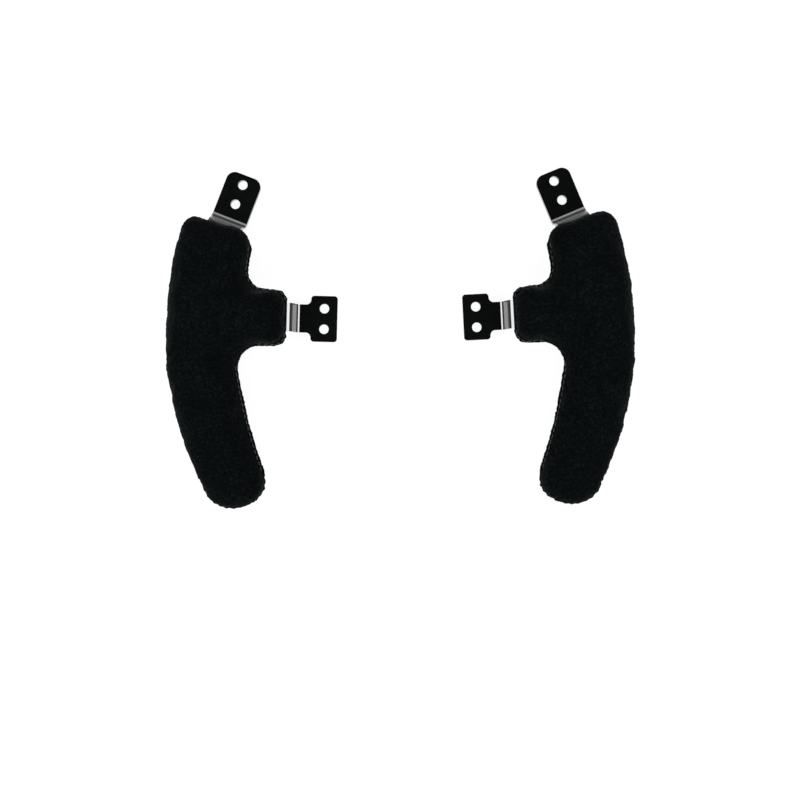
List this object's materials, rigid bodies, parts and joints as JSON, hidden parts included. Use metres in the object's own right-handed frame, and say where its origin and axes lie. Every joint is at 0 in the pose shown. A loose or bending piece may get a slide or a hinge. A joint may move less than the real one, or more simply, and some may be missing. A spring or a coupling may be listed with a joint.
{
  "type": "steering wheel hand grip pair",
  "caption": "Left and right suede-covered crescent hand grips, each with a padded side branch and flat steel screw tabs at its top and its branch end.",
  "frame": {"origin": "centre of the pair's footprint, on the surface that the grips lie on", "axes": "+X from the left grip to the right grip, +Y up the wheel towards the top tabs, +Z out of the surface, towards the hand"},
  "size_m": [0.2244, 0.162, 0.028],
  "materials": {
    "painted_steel": "gloss",
    "foam": "matte",
    "suede": "matte",
    "thread": "satin"
  },
  "bodies": {
    "left_grip": {"left_insert_plate": "painted_steel", "left_front_foam": "foam", "left_rear_foam": "foam", "left_front_suede": "suede", "left_rear_suede": "suede", "left_outer_seam_thread": "thread", "left_upper_seam_thread": "thread", "left_branch_seam_thread": "thread", "left_lower_seam_thread": "thread"},
    "right_grip": {"right_insert_plate": "painted_steel", "right_front_foam": "foam", "right_rear_foam": "foam", "right_front_suede": "suede", "right_rear_suede": "suede", "right_outer_seam_thread": "thread", "right_upper_seam_thread": "thread", "right_branch_seam_thread": "thread", "right_lower_seam_thread": "thread"}
  },
  "joints": [
    {"name": "right_grip_spacing", "type": "slide", "parent": "left_grip", "child": "right_grip", "axis": [1, 0, 0], "range_m": [0, 0.0972]}
  ]
}
